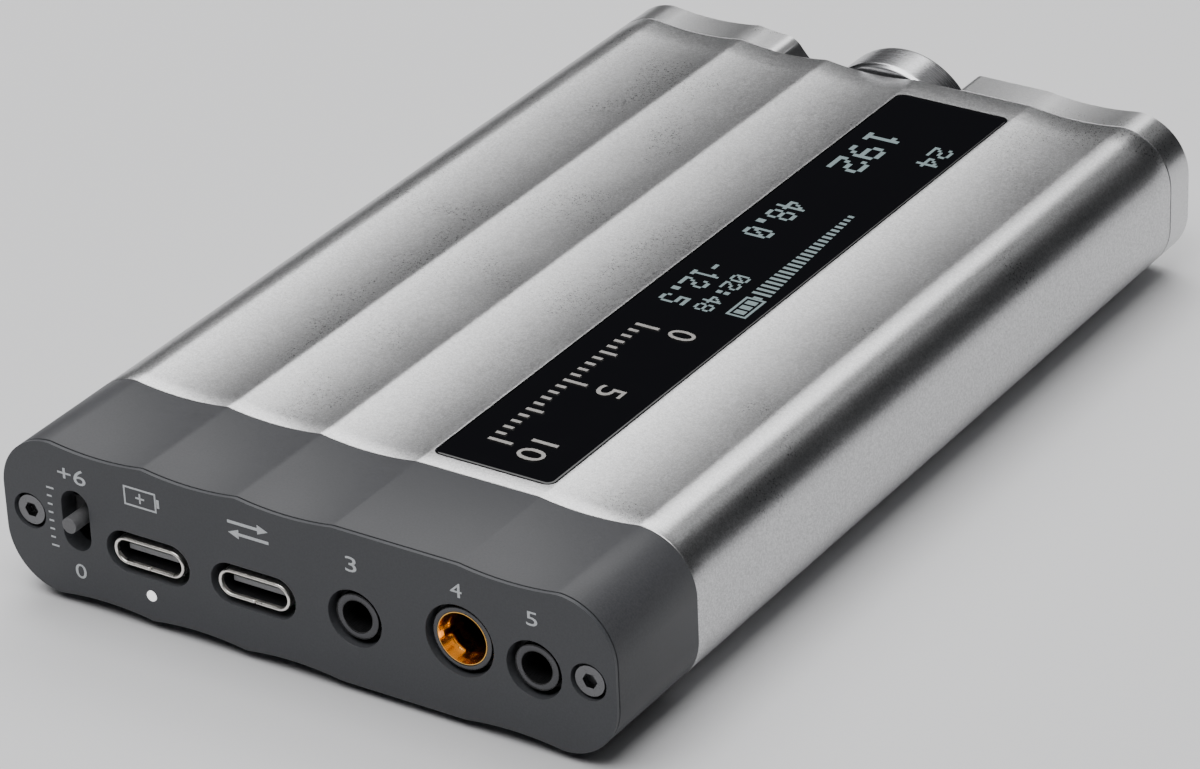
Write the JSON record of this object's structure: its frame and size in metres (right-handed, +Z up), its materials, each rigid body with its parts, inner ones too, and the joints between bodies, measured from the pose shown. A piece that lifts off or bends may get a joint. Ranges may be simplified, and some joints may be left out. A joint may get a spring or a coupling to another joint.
{
  "type": "desktop dac",
  "caption": "Pocket-size DAC and headphone amplifier with a wavy case, display strip, volume knob and plug sockets at both ends.",
  "frame": {"origin": "middle of the footprint, on the surface that the feet stand on", "axes": "+Z up, +Y towards the rear ports, X across the width"},
  "size_m": [0.075, 0.1242, 0.0194],
  "materials": {
    "silver_case": "fine bead-blasted anodised",
    "dark_case": "fine satin texture",
    "dark_plate": "satin powder coat",
    "black_glass": "polished black",
    "black_plastic": "moulded",
    "turned_metal": "fine turned",
    "steel": "bright nickel",
    "gold_plate": "gold plated",
    "dark_steel": "black oxide",
    "board": "solder mask",
    "battery_wrap": "foil pouch",
    "clear_plastic": "diffuse",
    "grey_plastic": "moulded",
    "foot_rubber": "matte",
    "copper_film": "polyimide"
  },
  "bodies": {
    "case": {"body_sleeve": "silver_case", "rear_band": "dark_case", "rear_plate": "dark_plate", "front_cap": "silver_case", "display_glass": "black_glass", "display_module": "black_plastic", "display_ribbon": "copper_film", "main_board": "board", "front_board": "board", "board_connector": "black_plastic", "shield_can": "steel", "main_chips": "black_plastic", "capacitors": "gold_plate", "radio_module": "steel", "radio_antenna": "copper_film", "battery_cell": "battery_wrap", "battery_tape": "clear_plastic", "battery_lead": "copper_film", "charge_socket_shell": "steel", "charge_socket_tongue": "black_plastic", "data_socket_shell": "steel", "data_socket_tongue": "black_plastic", "digital_jack": "black_plastic", "line_jack": "black_plastic", "balanced_line_jack": "black_plastic", "balanced_line_contact": "gold_plate", "headphone_jack": "black_plastic", "balanced_headphone_jack": "black_plastic", "balanced_headphone_contact": "gold_plate", "tone_switch_housing": "black_plastic", "gain_switch_housing": "black_plastic", "charge_light_pipe": "clear_plastic", "status_light_pipes": "clear_plastic", "indicator_lamps": "clear_plastic", "button_switches": "black_plastic", "encoder_body": "steel", "encoder_nut": "steel", "encoder_spring": "steel", "rear_screws": "dark_steel", "front_screws": "dark_steel", "rubber_feet": "foot_rubber"},
    "tone_lever": {"tone_switch_lever": "grey_plastic"},
    "gain_lever": {"gain_switch_lever": "grey_plastic"},
    "menu_key": {"menu_button": "turned_metal"},
    "input_key": {"input_button": "turned_metal"},
    "press_plunger": {"encoder_plunger": "black_plastic"},
    "knob": {"knob_shaft": "steel", "volume_knob": "turned_metal"}
  },
  "joints": [
    {"name": "tone_switch_slide", "type": "slide", "parent": "case", "child": "tone_lever", "axis": [0, 0, 1], "range_m": [-0.002, 0.002]},
    {"name": "gain_switch_slide", "type": "slide", "parent": "case", "child": "gain_lever", "axis": [1, 0, 0], "range_m": [-0.0015, 0.0015]},
    {"name": "menu_button_press", "type": "slide", "parent": "case", "child": "menu_key", "axis": [0, 1, 0], "range_m": [0, 0.0003], "stiffness_N_per_m": 1500, "springref_m": -0.0005},
    {"name": "input_button_press", "type": "slide", "parent": "case", "child": "input_key", "axis": [0, 1, 0], "range_m": [0, 0.0003], "stiffness_N_per_m": 1500, "springref_m": -0.0005},
    {"name": "knob_press", "type": "slide", "parent": "case", "child": "press_plunger", "axis": [0, 1, 0], "range_m": [0, 0.0003], "stiffness_N_per_m": 1500, "springref_m": -0.0005},
    {"name": "knob_turn", "type": "hinge", "parent": "press_plunger", "child": "knob", "pos_m": [0, -0.0621, 0.01], "axis": [0, -1, 0], "continuous": true}
  ]
}
